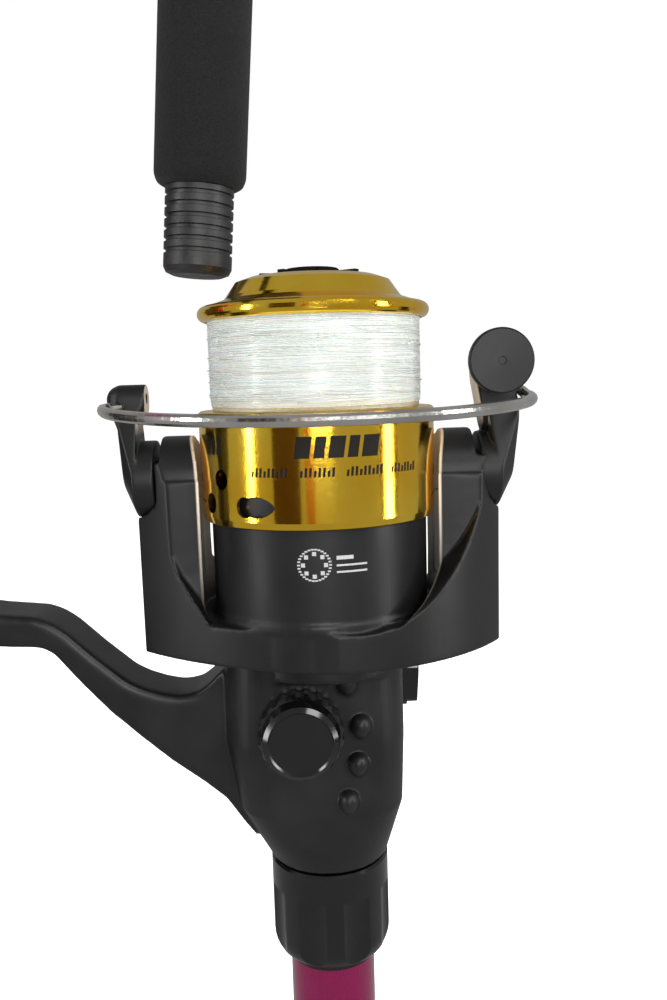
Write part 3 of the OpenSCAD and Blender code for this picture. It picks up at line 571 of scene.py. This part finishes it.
def panel(name, centre, size, tilt, colour, glow=0.0, seen=True):
    """A flat sheet of the stage, which glows or stands in the way of the white world."""
    bpy.ops.mesh.primitive_plane_add(size=1, location=centre, rotation=tilt)
    obj = bpy.context.object
    obj.name = name
    obj.scale = (size[0], size[1], 1)
    mat = bpy.data.materials.new(name)
    mat.use_nodes = True
    bsdf = mat.node_tree.nodes["Principled BSDF"]
    bsdf.inputs["Base Color"].default_value = (*colour, 1)
    bsdf.inputs["Roughness"].default_value = 0.9
    bsdf.inputs["Emission Color"].default_value = (*colour, 1)
    bsdf.inputs["Emission Strength"].default_value = glow
    obj.data.materials.append(mat)
    obj.visible_camera = seen
    return obj


def soft_light(name, position, target, size, power, shines=True):
    """A soft rectangular lamp; one that doesn't shine has no reflection."""
    data = bpy.data.lights.new(name, "AREA")
    data.shape, data.size, data.size_y = "RECTANGLE", size[0], size[1]
    data.energy = power
    obj = bpy.data.objects.new(name, data)
    scene.collection.objects.link(obj)
    obj.location = position
    obj.rotation_euler = (Vector(target) - Vector(position)).to_track_quat("-Z", "Y").to_euler()
    obj.visible_camera = False
    obj.visible_glossy = shines


def make_studio():
    """White to the camera, dimmer to everything else, with lamps and reflection flags."""
    dim_strength = 0.36
    world = bpy.data.worlds.new("studio")
    scene.world = world
    world.use_nodes = True
    tree = world.node_tree
    background = tree.nodes["Background"]
    dim = tree.nodes.new("ShaderNodeBackground")
    for node, strength in ((background, 1.0), (dim, dim_strength)):
        node.inputs["Color"].default_value = (1, 1, 1, 1)
        node.inputs["Strength"].default_value = strength
    path, mix = tree.nodes.new("ShaderNodeLightPath"), tree.nodes.new("ShaderNodeMixShader")
    tree.links.new(path.outputs["Is Camera Ray"], mix.inputs[0])
    tree.links.new(dim.outputs[0], mix.inputs[1])
    tree.links.new(background.outputs[0], mix.inputs[2])
    tree.links.new(mix.outputs[0], tree.nodes["World Output"].inputs["Surface"])
    floor = panel("floor", (0, 0, -0.02), (30, 30), (0, 0, 0), (0.9, 0.9, 0.9), glow=0.8)
    floor.visible_glossy = False
    aim = (0, 0, 0.18)
    soft_light("key", (0.45, -0.75, 0.8), aim, (0.4, 0.4), 4.5)
    soft_light("left_strip", (-0.8, -0.35, 0.35), aim, (0.12, 0.9), 4)
    soft_light("right_strip", (0.8, -0.3, 0.35), aim, (0.14, 0.9), 5)
    soft_light("front_fill", (0.05, -0.9, 0.3), aim, (0.3, 0.3), 3.5)
    soft_light("back_top", (-0.2, 0.8, 0.7), aim, (0.6, 0.4), 4, shines=False)
    # flags that give the polished metal its deep bands, seen only in reflections
    distance, height, middle_z = 1.1, 1.1, 0.3
    upright = math.radians(90)
    for name, azimuth, width, colour in (("flag_left", 240, 0.5, (0.05, 0.022, 0.01)),
                                         ("flag_centre", 262, 0.16, (0.28, 0.1, 0.02)),
                                         ("flag_right", 340, 0.42, (0.06, 0.035, 0.02)),
                                         ("flag_back", 155, 0.6, (0.04, 0.03, 0.02))):
        a = math.radians(azimuth)
        place = (distance * math.cos(a), distance * math.sin(a), middle_z)
        flag = panel(name, place, (width, height), (upright, 0, a + upright), colour, seen=False)
        flag.visible_shadow = False
        flag.visible_diffuse = False


# node: voxel in mm, smoothing passes, and what is rounder still
SKINS = {
    "body_shell": (0.38, 5, (stem_roundness, 70)),
    "rotor": (0.4, 4, None),
    "bail_lever_left": (0.25, 7, None),
    "bail_lever_right": (0.25, 7, None),
    "crank_arm": (0.35, 7, None),
    "anti_reverse_lever": (0.12, 6, None),
}

make_camera()
make_studio()
for node_name, node_object in NODES.items():
    paint(node_object, MATERIALS[SLOTS[node_name]])
skins = {node_name: soften(node_name, *how) for node_name, how in SKINS.items()}
# the rotor, its arm covers and the bail levers carry painted light on their inner walls
paint(skins["rotor"], ROTOR_BLACK_PAINTED_LIGHT)
for node_name, material in LEVER_BLACK_PAINTED_LIGHT.items():
    paint(skins[node_name], material)
paint(NODES["arm_covers"], ROTOR_BLACK_PAINTED_LIGHT)
paint(NODES["drag_knob"], KNOB_BLACK)
grip = soften("foam_grip", 0.55, 5)
wound_line()
spool_marks()
rotor_mark()
body_beads()
